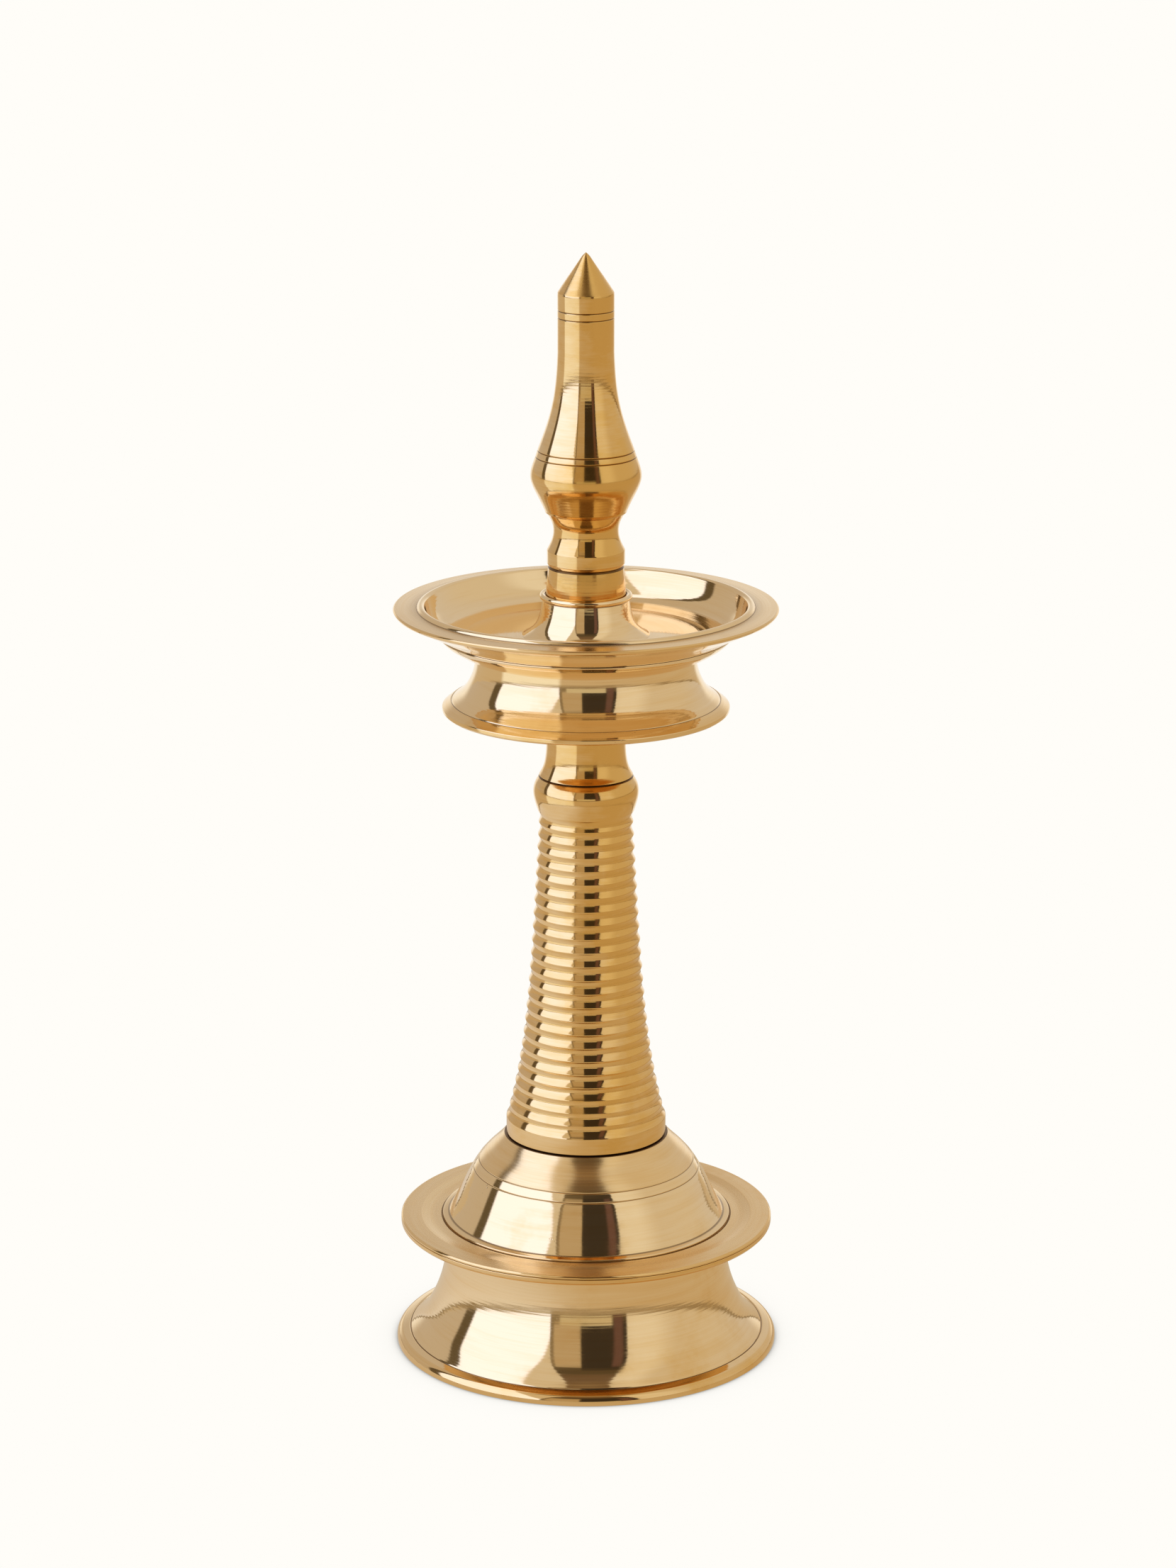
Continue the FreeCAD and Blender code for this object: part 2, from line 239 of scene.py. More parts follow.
    def samples(self, edge: float) -> tuple[list[Point], np.ndarray]:
        """Every point of the walk with its corners rounded.

        Args:
            edge: Length taken off each side of a corner to round it, in millimetres.

        Returns:
            The points, and a row for each with its thread's sign, satin, grime and stain.
        """
        runs = list(self.runs)
        closed = math.dist(runs[0].points[0], self.here) < 1e-6
        if not closed and self.here[0] > 1e-6:
            runs.append(Run([self.here, runs[0].points[0]]))
            closed = True
        corners: dict[int, list[Point]] = {}
        first = 0 if closed else 1
        for i in range(first, len(runs)):
            a, b = runs[i - 1], runs[i]
            before, corner, after = a.points[-2], b.points[0], b.points[1]
            d1 = (corner[0] - before[0], corner[1] - before[1])
            d2 = (after[0] - corner[0], after[1] - corner[1])
            bend = abs(math.atan2(d1[0] * d2[1] - d1[1] * d2[0], d1[0] * d2[0] + d1[1] * d2[1]))
            if bend < math.radians(7):
                continue
            cut = min(edge, 0.36 * a.length(), 0.36 * b.length())
            runs[i - 1] = a.backwards().trimmed(cut).backwards()
            runs[i] = b.trimmed(cut)
            p, q = runs[i - 1].points[-1], runs[i].points[0]
            corners[i] = [
                tuple(
                    (1 - t) ** 2 * p[k] + 2 * t * (1 - t) * corner[k] + t * t * q[k]
                    for k in (0, 1)
                )
                for t in (0.2, 0.4, 0.6, 0.8)
            ]
        points: list[Point] = []
        marks: list[np.ndarray] = []
        for i, run in enumerate(runs):
            mark = run.marks()
            shared = np.maximum(mark, runs[i - 1].marks()) * (0, 1, 1, 1)
            for point in corners.get(i, []):
                points.append(point)
                marks.append(shared)
            joined = i > 0 and i not in corners
            for point in run.points[1:] if joined else run.points:
                points.append(point)
                marks.append(mark)
        if closed:
            points.append(points[0])
            marks.append(marks[0])
        return points, np.array(marks)


GROOVE_REACH = 0.4  # half the width of the widest hollow that counts as a groove, in millimetres


def groove_depth(points: np.ndarray, reach: float) -> np.ndarray:
    """How far each point of an outline lies in a hollow, from 0 on open surface to about 1.

    Args:
        points: Radius and height of the outline's points, in millimetres.
        reach: Distance along the outline to the points that it is compared with.

    Returns:
        One number for each point.
    """
    along = np.concatenate([[0], np.cumsum(np.hypot(*np.diff(points, axis=0).T))])

    def at(distance: np.ndarray) -> np.ndarray:
        """Points of the outline at these distances along it."""
        distance = np.clip(distance, 0, along[-1])
        return np.stack([np.interp(distance, along, points[:, k]) for k in (0, 1)], axis=1)

    before, after = at(along - reach), at(along + reach)
    run = after - before
    outward = np.stack([run[:, 1], -run[:, 0]], axis=1)
    outward /= np.maximum(np.linalg.norm(outward, axis=1), 1e-9)[:, None]
    hollow = (((before + after) / 2 - points) * outward).sum(axis=1)
    return np.clip(hollow / (0.8 * reach), 0, 1)


# ---------------------------------------------------------------- node trees


class Graph:
    """A node tree under construction, for shaders and for geometry."""

    def __init__(self, tree: bpy.types.NodeTree) -> None:
        """Take over a tree and empty it.

        Args:
            tree: The tree to build in.
        """
        self.tree = tree
        tree.nodes.clear()

    def node(self, kind: str, wires: Optional[dict] = None, **settings) -> bpy.types.Node:
        """Add a node.

        Args:
            kind: The node's type name.
            wires: For each input, by name or number, a socket to link or a value to set.
            **settings: The node's own properties.

        Returns:
            The new node.
        """
        made = self.tree.nodes.new(kind)
        for name, value in settings.items():
            setattr(made, name, value)
        for key, wire in (wires or {}).items():
            self.feed(made.inputs[key], wire)
        return made

    def feed(self, socket: Socket, wire: Wire) -> None:
        """Link a socket to an input, or set the input's value."""
        if isinstance(wire, Socket):
            self.tree.links.new(wire, socket)
        elif wire is not None:
            socket.default_value = wire

    def math(self, operation: str, a: Wire, b: Wire = None, clamp: bool = False) -> Socket:
        """One Math node's result."""
        made = self.node("ShaderNodeMath", {0: a, 1: b}, operation=operation, use_clamp=clamp)
        return made.outputs[0]

    def smooth(
        self, value: Wire, low: Wire, high: Wire, to_low: float = 0.0, to_high: float = 1.0
    ) -> Socket:
        """A value run through a smooth step from low to high."""
        wires = {0: value, 1: low, 2: high, 3: to_low, 4: to_high}
        made = self.node("ShaderNodeMapRange", wires, interpolation_type="SMOOTHSTEP")
        return made.outputs[0]

    def attribute(self, name: str) -> Socket:
        """A stored attribute's value, in a shader."""
        return self.node("ShaderNodeAttribute", attribute_name=name).outputs["Fac"]

    def vector(self, x: Wire, y: Wire, z: Wire) -> Socket:
        """Three numbers as a vector."""
        return self.node("ShaderNodeCombineXYZ", {0: x, 1: y, 2: z}).outputs[0]

    def noise(
        self, vector: Wire, scale: float, detail: float = 2.0, rough: float = 0.5, shift: Wire = 0.0
    ) -> Socket:
        """A noise pattern's value, about 0.5 on average."""
        wires = {"Vector": vector, "W": shift, "Scale": scale, "Detail": detail, "Roughness": rough}
        return self.node("ShaderNodeTexNoise", wires, noise_dimensions="4D").outputs[0]

    def blend(self, share: Wire, a: Wire, b: Wire) -> Socket:
        """Two colours mixed by a share."""
        made = self.node("ShaderNodeMix", {0: share, 6: a, 7: b}, data_type="RGBA")
        return made.outputs[2]


class Lathe:
    """The geometry node tree that spins an outline into a turned piece."""

    INPUTS = (
        ("Segments", "NodeSocketInt", 128),
        ("Wobble", "NodeSocketFloat", 0.0),
        ("Wobble Scale", "NodeSocketFloat", 40.0),
        ("Thread Pitch", "NodeSocketFloat", 0.002),
        ("Thread Depth", "NodeSocketFloat", 0.0008),
        ("Seed", "NodeSocketFloat", 1.0),
        ("Finish", "NodeSocketMaterial", None),
    )

    def __init__(self) -> None:
        """Build the tree."""
        self.tree = bpy.data.node_groups.new("lathe", "GeometryNodeTree")
        face = self.tree.interface
        face.new_socket("Geometry", in_out="INPUT", socket_type="NodeSocketGeometry")
        face.new_socket("Geometry", in_out="OUTPUT", socket_type="NodeSocketGeometry")
        self.sockets: dict[str, str] = {}
        for name, kind, default in self.INPUTS:
            socket = face.new_socket(name, in_out="INPUT", socket_type=kind)
            if default is not None:
                socket.default_value = default
            self.sockets[name] = socket.identifier
        self._wire()

    def _wire(self) -> None:
        """Wire the tree's nodes."""
        g = Graph(self.tree)
        given = g.node("NodeGroupInput").outputs
        outline = given["Geometry"]
        size = g.node("GeometryNodeAttributeDomainSize", {0: outline}, component="MESH")
        count = size.outputs["Point Count"]
        around = g.math("ADD", given["Segments"], 1)
        wires = {"Vertices X": count, "Vertices Y": around}
        grid = g.node("GeometryNodeMeshGrid", wires).outputs["Mesh"]
        index = g.node("GeometryNodeInputIndex").outputs[0]
        row = g.math("FLOOR", g.math("DIVIDE", g.math("ADD", index, 0.5), around))
        column = g.math("SUBTRACT", index, g.math("MULTIPLY", row, around))
        share = g.math("DIVIDE", column, given["Segments"])
        angle = g.math("MULTIPLY", share, math.tau)

        def sampled(value: Socket, kind: str) -> Socket:
            """A value of the outline's point that this row of the grid stands for."""
            wires = {"Geometry": outline, "Value": value, "Index": row}
            return g.node("GeometryNodeSampleIndex", wires, data_type=kind, domain="POINT").outputs[0]

        def attribute(name: str) -> Socket:
            """A stored attribute of the outline, for this row of the grid."""
            named = g.node("GeometryNodeInputNamedAttribute", {"Name": name}, data_type="FLOAT")
            return sampled(named.outputs[0], "FLOAT")

        place = sampled(g.node("GeometryNodeInputPosition").outputs[0], "FLOAT_VECTOR")
        place = g.node("ShaderNodeSeparateXYZ", {0: place}).outputs
        radius, height = place["X"], place["Z"]
        cosine, sine = g.math("COSINE", angle), g.math("SINE", angle)
        spot = g.vector(g.math("MULTIPLY", radius, cosine), g.math("MULTIPLY", radius, sine), height)
        noise = g.node(
            "ShaderNodeTexNoise",
            {"Vector": spot, "W": given["Seed"], "Scale": given["Wobble Scale"], "Detail": 3.0},
            noise_dimensions="4D",
        ).outputs[0]
        near_axis = g.math("MINIMUM", g.math("MULTIPLY", radius, 400), 1)
        wobble = g.math("MULTIPLY", g.math("SUBTRACT", noise, 0.5), given["Wobble"])
        wobble = g.math("MULTIPLY", wobble, near_axis)
        turns = g.math("SUBTRACT", g.math("DIVIDE", height, given["Thread Pitch"]), share)
        wave = g.math("PINGPONG", turns, 0.5)
        flank = g.smooth(wave, 0.06, 0.40)
        cut = g.math("MULTIPLY", g.math("MULTIPLY", flank, given["Thread Depth"]), attribute("thread"))
        radius = g.math("SUBTRACT", g.math("ADD", radius, wobble), cut)
        spot = g.vector(g.math("MULTIPLY", radius, cosine), g.math("MULTIPLY", radius, sine), height)
        shape = g.node("GeometryNodeSetPosition", {"Geometry": grid, "Position": spot}).outputs[0]
        for name in ("along", "satin", "grime", "stain"):
            wires = {"Geometry": shape, "Name": name, "Value": attribute(name)}
            store = g.node("GeometryNodeStoreNamedAttribute", wires, data_type="FLOAT", domain="POINT")
            shape = store.outputs[0]
        shape = g.node("GeometryNodeMergeByDistance", {"Geometry": shape, "Distance": 2e-6}).outputs[0]
        shape = g.node("GeometryNodeFlipFaces", {0: shape}).outputs[0]
        shape = g.node("GeometryNodeSetShadeSmooth", {0: shape}).outputs[0]
        shape = g.node("GeometryNodeRealizeInstances", {0: shape}).outputs[0]
        shape = g.node("GeometryNodeSetMaterial", {0: shape, "Material": given["Finish"]}).outputs[0]
        g.node("NodeGroupOutput", {0: shape})

    def spin(self, name: str, outline: Outline, edge: float, settings: dict) -> bpy.types.Object:
        """Turn an outline into a finished mesh.

        Args:
            name: The piece's name.
            outline: The outline to spin.
            edge: How much each corner is rounded, in millimetres.
            settings: Values for the tree's inputs, by name.

        Returns:
            The piece, a plain mesh at the origin.
        """
        points, marks = outline.samples(edge)
        flat = np.array(points)
        following = np.roll(flat, -1, axis=0)
        area = float((flat[:, 0] * following[:, 1] - following[:, 0] * flat[:, 1]).sum())
        if area < 0:
            flat, marks = flat[::-1], marks[::-1]
        along = np.concatenate([[0], np.cumsum(np.hypot(*np.diff(flat, axis=0).T))]) * MM
        mesh = bpy.data.meshes.new(name)
        places = [(max(r, 0.0) * MM, 0.0, z * MM) for r, z in flat]
        mesh.from_pydata(places, [(i, i + 1) for i in range(len(places) - 1)], [])
        grime = np.maximum(groove_depth(flat, GROOVE_REACH), marks[:, 2])
        stored = {"along": along, "grime": grime}
        stored.update(zip(("thread", "satin"), marks.T), stain=marks[:, 3])
        for key, values in stored.items():
            attribute = mesh.attributes.new(key, "FLOAT", "POINT")
            attribute.data.foreach_set("value", np.asarray(values, np.float32))
        piece = bpy.data.objects.new(name, mesh)
        bpy.context.scene.collection.objects.link(piece)
        modifier = piece.modifiers.new("lathe", "NODES")
        modifier.node_group = self.tree
        for key, value in settings.items():
            modifier[self.sockets[key]] = value
        bpy.context.view_layer.update()
        graph = bpy.context.evaluated_depsgraph_get()
        spun = bpy.data.meshes.new_from_object(piece.evaluated_get(graph), depsgraph=graph)
        piece.modifiers.clear()
        piece.data = spun
        spun.name = name
        return piece


# ---------------------------------------------------------------- finishes


@dataclass(frozen=True)
class Brass:
    """A turned brass finish.

    Args:
        name: The finish's name.
        metal: Colour of clean metal, as linear red, green and blue.
        tarnish_and_shade: Colour of tarnished metal, also used as the painted shade on the side towards +X.
        patina: Colour of the grime in grooves.
        gloss: Roughness of the polished surface.
        dull: Roughness where the surface is left brushed.
        line_width: Spacing of the fine lathe lines, in millimetres.
        line_depth: Depth of the fine lathe lines, in millimetres.
        chatter_width: Spacing of the tool's regular chatter marks, in millimetres.
        chatter_depth: Depth of the chatter marks, in millimetres.
        tarnish_and_shade_left: Share of the tarnished colour on the side towards -X.
        tarnish_and_shade_right: The same towards +X; the rise to it is painted shade, away from the light.
        pitted: How thick the casting pits stand, 0 to 1.
        seed: Moves every pattern.
    """

    name: str
    metal: tuple[float, float, float] = (0.92, 0.71, 0.42)
    tarnish_and_shade: tuple[float, float, float] = (0.80, 0.49, 0.15)
    patina: tuple[float, float, float] = (0.12, 0.055, 0.016)
    gloss: float = 0.06
    dull: float = 0.30
    line_width: float = 0.35
    line_depth: float = 0.003
    chatter_width: float = 1.1
    chatter_depth: float = 0.003
    tarnish_and_shade_left: float = 0.0
    tarnish_and_shade_right: float = 0.1
    pitted: float = 0.3
    seed: float = 1.0

    def material(self) -> bpy.types.Material:
        """Build the shader.

        Returns:
            The material.
        """
        made = bpy.data.materials.new(self.name)
        made.use_nodes = True
        g = Graph(made.node_tree)
        place = g.node("ShaderNodeTexCoord").outputs["Object"]
        part = g.node("ShaderNodeSeparateXYZ", {0: place}).outputs
        flat = g.vector(part["X"], part["Y"], 0.0)
        outward = g.node("ShaderNodeVectorMath", {0: flat}, operation="NORMALIZE").outputs[0]
        turned = g.node("ShaderNodeSeparateXYZ", {0: outward}).outputs
        along = g.attribute("along")
        satin = g.attribute("satin")
        colour, rough = self._tone(g, place, turned, along, satin)
        relief = self._relief(g, place, turned, along)
        bump = g.node("ShaderNodeBump", {"Strength": 1.0, "Distance": 1.0, "Height": relief}).outputs[0]
        across = g.vector(g.math("MULTIPLY", turned[1], -1), turned[0], 0.0)
        spaces = {"vector_type": "VECTOR", "convert_from": "OBJECT", "convert_to": "WORLD"}
        tangent = g.node("ShaderNodeVectorTransform", {0: across}, **spaces).outputs[0]
        shader = g.node(
            "ShaderNodeBsdfPrincipled",
            {
                "Base Color": colour,
                "Metallic": 1.0,
                "Roughness": rough,
                "Anisotropic": 0.5,
                "Anisotropic Rotation": 0.25,
                "Normal": bump,
                "Tangent": tangent,
            },
        ).outputs[0]
        g.node("ShaderNodeOutputMaterial", {0: shader})
        return made

    def _lines(
        self, g: Graph, turned: Sequence[Socket], along: Wire, spacing: float, reach: float
    ) -> Socket:
        """A noise drawn out round the axis, spaced in millimetres along the outline."""
        run = g.math("MULTIPLY", along, 1 / (spacing * MM))
        spot = g.vector(g.math("MULTIPLY", turned[0], reach), g.math("MULTIPLY", turned[1], reach), run)
        return g.noise(spot, 1.0, 2.0, 0.6, self.seed)

    def _pits(self, g: Graph, place: Wire) -> Socket:
        """Scattered casting pits, 1 in a pit and 0 elsewhere."""
        cells = g.node("ShaderNodeTexVoronoi", {"Vector": place, "Scale": 700.0}).outputs["Distance"]
        where = g.noise(place, 60.0, 3.0, 0.6, self.seed + 9)
        thick = g.smooth(where, 0.70 - 0.16 * self.pitted, 0.80 - 0.14 * self.pitted)
        return g.math("MULTIPLY", g.smooth(cells, 0.06, 0.22, 1.0, 0.0), thick)

    def _tone(
        self, g: Graph, place: Wire, turned: Sequence[Socket], along: Wire, satin: Wire
    ) -> tuple[Socket, Socket]:
        """The metal's colour and roughness."""
        cloud = g.noise(place, 32.0, 4.0, 0.62, self.seed + 3)
        speckle = g.noise(place, 380.0, 3.0, 0.7, self.seed + 5)
        broad = self._lines(g, turned, along, 2.6, 1.1)
        # Painted shade: the share of the tarnished colour grows from -X to +X, darkening the side turned
        # away from the bright light, over the piece's own tarnishing.
        share = g.smooth(turned[0], -0.75, 0.55, self.tarnish_and_shade_left, self.tarnish_and_shade_right)
        patch = g.smooth(g.math("ADD", cloud, g.math("MULTIPLY", share, 0.16)), 0.54, 0.70)
        patch = g.math("MULTIPLY", patch, g.smooth(speckle, 0.30, 0.62, 0.55, 1.0))
        fine = self._lines(g, turned, along, self.line_width, 1.6)
        streak = g.smooth(broad, 0.35, 0.72, -0.10, 0.14)
        streak = g.math("ADD", streak, g.smooth(fine, 0.3, 0.7, -0.07, 0.07))
        # The run's own stain, then the lathe streaks and patches, go on top of the painted side shade; the
        # sum blends clean metal towards the tarnished, shaded colour.
        share = g.math("ADD", share, g.attribute("stain"))
        stain = g.math("ADD", g.math("ADD", share, streak), g.math("MULTIPLY", patch, 0.34), clamp=True)
        grime = g.smooth(g.attribute("grime"), 0.12, 0.70, 0.0, 0.92)
        grime = g.math("MAXIMUM", grime, g.math("MULTIPLY", self._pits(g, place), 0.85))
        colour = g.blend(stain, (*self.metal, 1), (*self.tarnish_and_shade, 1))
        colour = g.blend(grime, colour, (*self.patina, 1))
        rough = g.math("ADD", self.gloss, g.math("MULTIPLY", g.smooth(fine, 0.42, 0.75), 0.05))
        rough = g.math("ADD", rough, g.math("MULTIPLY", patch, 0.08))
        rough = g.math("ADD", rough, g.math("MULTIPLY", satin, self.dull))
        rough = g.math("ADD", rough, g.math("MULTIPLY", grime, 0.25))
        return colour, rough

    def _relief(self, g: Graph, place: Wire, turned: Sequence[Socket], along: Wire) -> Socket:
        """Height of the lathe lines, chatter marks and pits, in metres."""
        fine = self._lines(g, turned, along, self.line_width, 1.6)
        broad = self._lines(g, turned, along, 1.9, 1.1)
        phase = g.math("MULTIPLY", along, 1 / (self.chatter_width * MM))
        phase = g.math("ADD", phase, g.math("MULTIPLY", broad, 0.8))
        chatter = g.math("SINE", g.math("MULTIPLY", phase, math.tau))
        level = g.math("MULTIPLY", g.math("SUBTRACT", fine, 0.5), self.line_depth * MM * 2)
        wide = g.math("MULTIPLY", g.math("SUBTRACT", broad, 0.5), self.line_depth * MM * 3.5)
        level = g.math("ADD", level, wide)
        level = g.math("ADD", level, g.math("MULTIPLY", chatter, self.chatter_depth * MM / 2))
        return g.math("ADD", level, g.math("MULTIPLY", self._pits(g, place), -0.05 * MM))


# ---------------------------------------------------------------- pieces


@dataclass
class Turned:
    """A turned piece: what every sub-assembly's class shares.

    Args:
        node: The CAD node that the piece stands for.
        body: The CAD body that it rides on.
        finish: The brass that it is made of.
        segments: Facets round the axis.
        wobble: Unevenness of the turning, in millimetres.
        edge: Rounding of its corners, in millimetres.
        seed: Moves the unevenness.
    """

    node: str
    body: str
    finish: Brass
    segments: int = 160
    wobble: float = 0.10
    edge: float = 0.25
    seed: float = 1.0

    def low(self) -> float:
        """Height of the CAD node's underside, in millimetres."""
        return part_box(self.node)[0].z / MM

    def high(self) -> float:
        """Height of the CAD node's top, in millimetres."""
        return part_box(self.node)[1].z / MM

    def reach(self) -> float:
        """Largest radius of the CAD node, in millimetres."""
        low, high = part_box(self.node)
        return (high.x - low.x) / 2 / MM

    def outline(self) -> Outline:
        """The piece's outline."""
        raise NotImplementedError

    def settings(self) -> dict:
        """The lathe's settings for this piece."""
        return {
            "Segments": self.segments,
            "Wobble": self.wobble * MM,
            "Seed": self.seed,
            "Finish": self.finish.material(),
        }

    def make(self, lathe: Lathe) -> bpy.types.Object:
        """Spin the piece and tie it to the frame.

        Args:
            lathe: The lathe node tree.

        Returns:
            The piece.
        """
        piece = lathe.spin("turned_" + self.node, self.outline(), self.edge, self.settings())
        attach(piece, self.body)
        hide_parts(self.node)
        log.info("%s: %d faces", piece.name, len(piece.data.polygons))
        return piece


@dataclass
class Foot(Turned):
    """Flared hollow foot with a flat flange round its top; sizes in millimetres."""

    wall: float = 2.3
    rim_height: float = 2.4
    flange_edge: float = 3.2
    flange_radius: float = 60.0
    band_inner: float = 53.0
    ring_radius: float = 46.5
    opening: float = 40.0
    waist: float = 45.1

    def outline(self) -> Outline:
        """The foot's outline, from the inside of its rim outwards and up."""
        base, rim = self.low(), self.reach()
        top = self.high()
        under = top - self.flange_edge
        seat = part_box("base_dome")[0].z / MM + 4.0
        flare = [(52.9, base + 8.3), (50.05, base + 13.2), (48.15, base + 17.8), (46.6, base + 23.2)]
        flare.append((45.45, base + 31.5))
        shape = Outline(rim - 3.6, base).line(rim, base).finish(stain=0.35).line(rim, base + 1.2)
        shape.arc((rim - 0.5, base + self.rim_height), (rim - 1.7, base + self.rim_height + 0.9))
        shape.finish().line(57.75, base + 3.9).path((57.3, base + 3.7), (57.05, base + 4.15))
        shape.curve(*flare, (self.waist, under))
        edge = self.flange_radius
        shape.finish(stain=0.45).path((edge - 0.9, under), (edge, under + 0.9), (edge, under + 1.95))
        shape.path((edge - 0.3, under + 2.1), (edge, under + 2.25), (edge, top - 0.5), (edge - 0.5, top))
        shape.finish(satin=0.7, stain=0.1).line(self.band_inner + 0.5, top)
        shape.curve(
            (self.band_inner - 0.6, top - 0.16), (50.0, top - 0.45), (self.ring_radius + 0.4, top - 0.4)
        )
        shape.finish(grime=0.6).line(self.ring_radius, seat).finish()
        shape.path((self.opening, seat), (self.opening, under - 1.5))
        inside = [(r - self.wall, z - 0.8) for r, z in flare[::-1]]
        shape.curve(*inside, (rim - 7.2, base + 3.4))
        return shape


@dataclass
class Dome(Turned):
    """Domed cap between foot and column; sizes in millimetres."""

    ring_radius: float = 46.45
    bore: float = 14.05
    spigot: float = 39.95
    wall: float = 2.6
    line_width: float = 0.55
    line_depth: float = 0.22

    def outline(self) -> Outline:
        """The cap's outline, from its spigot outwards, up the dome and back inside."""
        foot = self.low()
        seat, top = foot + 4.0, self.high()
        shape = Outline(self.spigot, foot).line(self.spigot, seat).line(self.ring_radius, seat)
        shape.path((self.ring_radius, seat + 0.85), (45.3, seat + 1.05))
        shape.finish(grime=0.5).line(44.35, seat + 1.2).finish()
        shape.curve((42.85, seat + 3.9), (39.55, seat + 10.65), (37.1, seat + 15.3))
        shape.groove(self.line_width, self.line_depth, (36.5, seat + 16.3), (0.86, 0.5))
        shape.curve((35.75, seat + 17.5), (35.1, seat + 18.45))
        shape.groove(self.line_width, self.line_depth, (34.75, seat + 18.95), (0.80, 0.6))
        shape.finish(satin=0.4, stain=0.3).curve((32.3, seat + 21.75), (28.05, seat + 25.9), (26.3, top))
        shape.finish(grime=0.8).line(self.bore, top).finish().threaded(top - 8, 2.0, Thread.FEMALE)
        shape.path((19.0, top - 8), (25.6, top - 4.2))
        shape.curve((30.6, seat + 19.8), (34.3, seat + 14.9), (37.2, seat + 9.5), (37.35, foot))
        return shape


@dataclass
class Column(Turned):
    """Ribbed column with a bulging capital and a plain band at its foot; sizes in millimetres."""

    ridges: int = 24
    depth: float = 0.68
    low_depth: float = 0.5
    top_radius: float = 15.1
    flare: float = 5.57
    foot_flare: float = 4.97
    capital: float = 16.75
    bore: float = 14.05
    stud_wall: float = 7.05

    def ridge(self, share: float) -> Point:
        """Radius and height of a ridge, from the top of the column (0) to the band (1)."""
        radius = self.top_radius + self.flare * share + self.foot_flare * share**4
        return radius, self.high() - 15.1 - 95.2 * share - 17.6 * share**2 + 14.6 * share**3

    def hollow(self, above: Point, below: Point, depth: float) -> list[Point]:
        """Points down the rounded hollow between two ridges.

        Args:
            above: The upper ridge.
            below: The lower ridge.
            depth: The hollow's greatest depth.

        Returns:
            The points between the ridges, from the top down.
        """
        shares = ((0.18, 0.62), (0.45, 1.0), (0.75, 0.66))
        wider, lower = below[0] - above[0], below[1] - above[1]
        return [(above[0] + wider * down - depth * deep, above[1] + lower * down) for down, deep in shares]

    def outline(self) -> Outline:
        """The column's outline, from its core hole up and then down over the ridges."""
        foot, top = self.low(), self.high()
        band = self.reach()
        shape = Outline(self.bore, foot).threaded(foot + 10.5, 2.0, Thread.FEMALE)
        shape.path((10.5, foot + 10.5), (16.5, foot + 15.5), (10.0, top - 16.5), (0, top - 13.5))
        shape.path((0, top - 8.5), (self.stud_wall, top - 8.5)).threaded(top, 2.0, Thread.FEMALE)
        shape.finish(grime=0.7).path((14.7, top), (15.0, top - 0.3)).finish()
        shape.curve((16.0, top - 1.9), (self.capital, top - 4.5), (16.3, top - 8.2), (15.35, top - 11.3))
        above = self.ridge(0)
        shape.curve((14.75, top - 12.5), (14.6, top - 13.3), (14.75, top - 14.3), above)
        for step in range(1, self.ridges):
            below = self.ridge(step / (self.ridges - 1))
            depth = self.depth if step < self.ridges - 3 else self.low_depth
            shape.curve(*self.hollow(above, below, depth), below)
            above = below
        shape.path((band, above[1] - 0.25), (band, foot + 0.4))
        return shape.finish(grime=0.9).line(band - 0.4, foot).finish()


@dataclass
class Neck(Turned):
    """Neck that flares onto the capital and goes up into the stand; sizes in millimetres."""

    radius: float = 12.6
    spigot: float = 9.0

    def outline(self) -> Outline:
        """The neck's outline, from its lower hole outwards and up."""
        foot, top = self.low(), self.high()
        shape = Outline(7.05, foot).finish(grime=0.8).path((14.7, foot), (14.9, foot + 0.25)).finish()
        shape.curve((13.85, foot + 2.2), (13.05, foot + 4.9), (self.radius, foot + 9.5))
        shape.path((self.radius, top - 4), (self.spigot, top - 4), (self.spigot, top), (6.05, top))
        shape.threaded(top - 8.5, 1.5, Thread.FEMALE).path((0, top - 8.5), (0, foot + 10.5))
        return shape.line(7.05, foot + 10.5).threaded(foot, 2.0, Thread.FEMALE)


@dataclass
class DishStand(Turned):
    """Bell-shaped stand under the dish, open underneath; sizes in millimetres."""

    rim: float = 45.4
    top_radius: float = 34.8
    spigot: float = 9.0
    wall: float = 2.2

    def outline(self) -> Outline:
        """The stand's outline, from inside its rim outwards and up."""
        foot, top = self.low(), self.high()
        shape = Outline(42.6, foot).finish(stain=0.3).path((self.rim - 0.6, foot), (self.rim, foot + 0.6))
        shape.path((self.rim, foot + 1.7), (42.8, foot + 3.6)).finish()
        shape.path((42.5, foot + 3.45), (42.2, foot + 3.85))
        flare = [(38.2, foot + 7.4), (37.1, foot + 9.2), (36.3, foot + 10.9), (35.7, foot + 12.5)]
        flare.append((35.25, foot + 14.3))
        shape.curve(*flare, (self.top_radius, foot + 18.4)).line(self.top_radius, top)
        shape.line(self.spigot, top).path((self.spigot, top - 4), (31.8, top - 4))
        inside = [(r - self.wall, z - 0.8) for r, z in flare[::-1]]
        return shape.curve(*inside)


